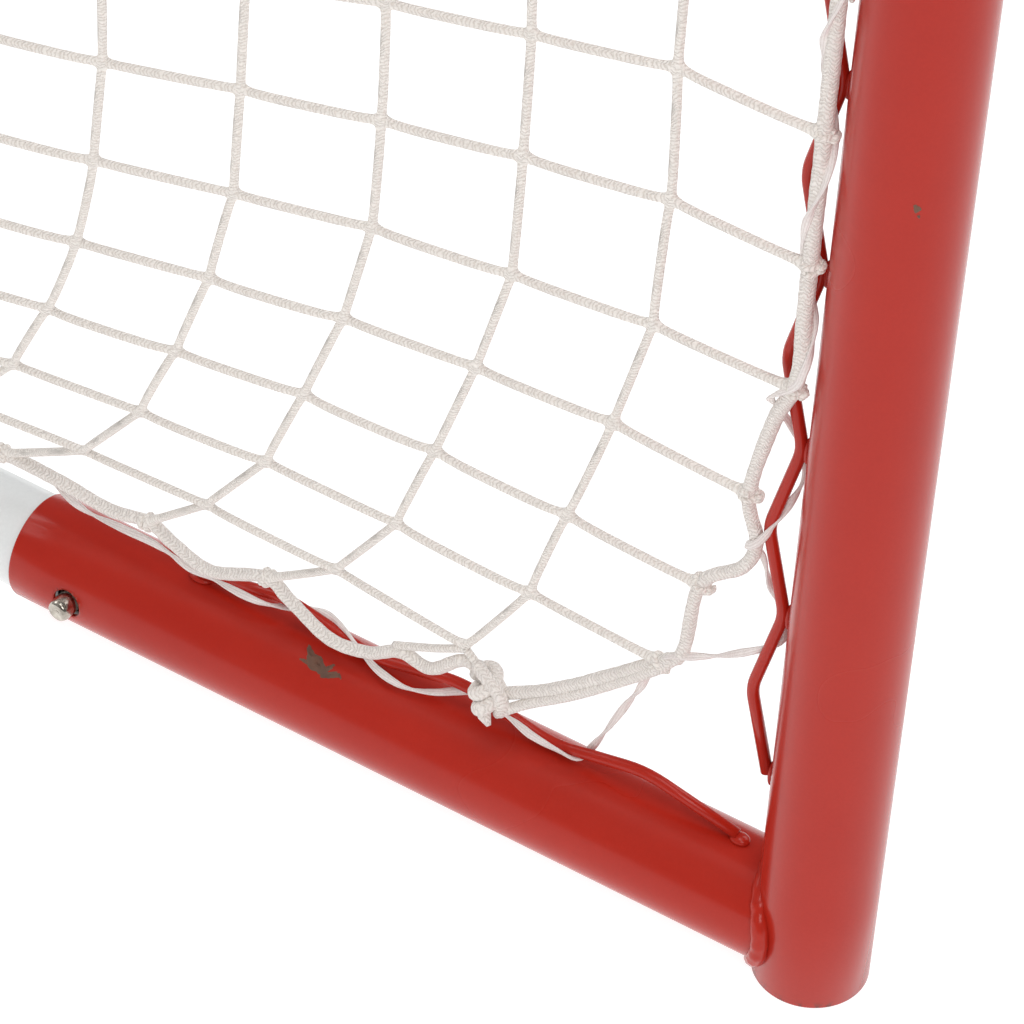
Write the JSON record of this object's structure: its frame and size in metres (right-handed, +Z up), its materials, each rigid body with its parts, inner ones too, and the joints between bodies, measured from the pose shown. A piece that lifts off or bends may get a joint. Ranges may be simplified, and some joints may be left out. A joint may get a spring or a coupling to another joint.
{
  "type": "hockey goal net",
  "caption": "Red tube hockey goal with white rear tubes held by snap buttons, zig-zag lacing bars and a laced square-mesh net with a top shelf.",
  "frame": {"origin": "on the floor under the middle of the goal's bounding box", "axes": "+X to the right post seen from the front, +Y from the mouth to the back, +Z up"},
  "size_m": [1.83, 0.71, 1.2255],
  "materials": {
    "red_frame": "gloss red powder coat",
    "white_frame": "gloss white powder coat",
    "snap_button": "nickel plate",
    "leaf_spring": "spring steel strip",
    "net_twine": "braided off-white twine",
    "lacing_cord": "twisted white nylon cord",
    "foot_plug": "moulded black plastic"
  },
  "bodies": {
    "goal": {"right_post": "red_frame", "right_post_plug": "foot_plug", "right_base_stub": "red_frame", "right_shelf_stub": "red_frame", "right_base_bend": "white_frame", "right_shelf_bend": "white_frame", "right_post_lacing_bar": "red_frame", "right_stub_lacing_bar": "red_frame", "right_base_lacing_bar": "white_frame", "right_post_lacing_cord": "lacing_cord", "net_right": "net_twine", "spring_right_base_front": "leaf_spring", "spring_right_base_rear": "leaf_spring", "spring_right_shelf_front": "leaf_spring", "spring_right_shelf_rear": "leaf_spring", "spring_right_crossbar": "leaf_spring", "left_post": "red_frame", "left_post_plug": "foot_plug", "left_base_stub": "red_frame", "left_shelf_stub": "red_frame", "left_base_bend": "white_frame", "left_shelf_bend": "white_frame", "left_post_lacing_bar": "red_frame", "left_stub_lacing_bar": "red_frame", "left_base_lacing_bar": "white_frame", "left_post_lacing_cord": "lacing_cord", "net_left": "net_twine", "spring_left_base_front": "leaf_spring", "spring_left_base_rear": "leaf_spring", "spring_left_shelf_front": "leaf_spring", "spring_left_shelf_rear": "leaf_spring", "spring_left_crossbar": "leaf_spring", "crossbar": "red_frame", "crossbar_lacing_bar": "red_frame", "base_centre_sleeve": "white_frame", "shelf_centre_sleeve": "white_frame", "centre_support": "white_frame", "net_back": "net_twine", "net_top": "net_twine", "mouth_rope": "net_twine", "base_rope": "net_twine", "crossbar_lacing_cord": "lacing_cord", "base_lacing_cord": "lacing_cord", "shelf_lacing_cord": "lacing_cord"},
    "button_right_base_front": {"button_right_base_front": "snap_button"},
    "button_right_base_rear": {"button_right_base_rear": "snap_button"},
    "button_right_shelf_front": {"button_right_shelf_front": "snap_button"},
    "button_right_shelf_rear": {"button_right_shelf_rear": "snap_button"},
    "button_right_crossbar": {"button_right_crossbar": "snap_button"},
    "button_left_base_front": {"button_left_base_front": "snap_button"},
    "button_left_base_rear": {"button_left_base_rear": "snap_button"},
    "button_left_shelf_front": {"button_left_shelf_front": "snap_button"},
    "button_left_shelf_rear": {"button_left_shelf_rear": "snap_button"},
    "button_left_crossbar": {"button_left_crossbar": "snap_button"}
  },
  "joints": [
    {"name": "press_right_base_front", "type": "slide", "parent": "goal", "child": "button_right_base_front", "axis": [1, 0, 0], "range_m": [0, 0.007], "stiffness_N_per_m": 1500, "springref_m": -0.002, "deforming": ["spring_right_base_front"]},
    {"name": "press_right_base_rear", "type": "slide", "parent": "goal", "child": "button_right_base_rear", "axis": [0, 1, 0], "range_m": [0, 0.007], "stiffness_N_per_m": 1500, "springref_m": -0.002, "deforming": ["spring_right_base_rear"]},
    {"name": "press_right_shelf_front", "type": "slide", "parent": "goal", "child": "button_right_shelf_front", "axis": [0, 0, -1], "range_m": [0, 0.007], "stiffness_N_per_m": 1500, "springref_m": -0.002, "deforming": ["spring_right_shelf_front"]},
    {"name": "press_right_shelf_rear", "type": "slide", "parent": "goal", "child": "button_right_shelf_rear", "axis": [0, 0, -1], "range_m": [0, 0.007], "stiffness_N_per_m": 1500, "springref_m": -0.002, "deforming": ["spring_right_shelf_rear"]},
    {"name": "press_right_crossbar", "type": "slide", "parent": "goal", "child": "button_right_crossbar", "axis": [0, -1, 0], "range_m": [0, 0.007], "stiffness_N_per_m": 1500, "springref_m": -0.002, "deforming": ["spring_right_crossbar"]},
    {"name": "press_left_base_front", "type": "slide", "parent": "goal", "child": "button_left_base_front", "axis": [-1, 0, 0], "range_m": [0, 0.007], "stiffness_N_per_m": 1500, "springref_m": -0.002, "deforming": ["spring_left_base_front"]},
    {"name": "press_left_base_rear", "type": "slide", "parent": "goal", "child": "button_left_base_rear", "axis": [0, 1, 0], "range_m": [0, 0.007], "stiffness_N_per_m": 1500, "springref_m": -0.002, "deforming": ["spring_left_base_rear"]},
    {"name": "press_left_shelf_front", "type": "slide", "parent": "goal", "child": "button_left_shelf_front", "axis": [0, 0, -1], "range_m": [0, 0.007], "stiffness_N_per_m": 1500, "springref_m": -0.002, "deforming": ["spring_left_shelf_front"]},
    {"name": "press_left_shelf_rear", "type": "slide", "parent": "goal", "child": "button_left_shelf_rear", "axis": [0, 0, -1], "range_m": [0, 0.007], "stiffness_N_per_m": 1500, "springref_m": -0.002, "deforming": ["spring_left_shelf_rear"]},
    {"name": "press_left_crossbar", "type": "slide", "parent": "goal", "child": "button_left_crossbar", "axis": [0, -1, 0], "range_m": [0, 0.007], "stiffness_N_per_m": 1500, "springref_m": -0.002, "deforming": ["spring_left_crossbar"]}
  ]
}
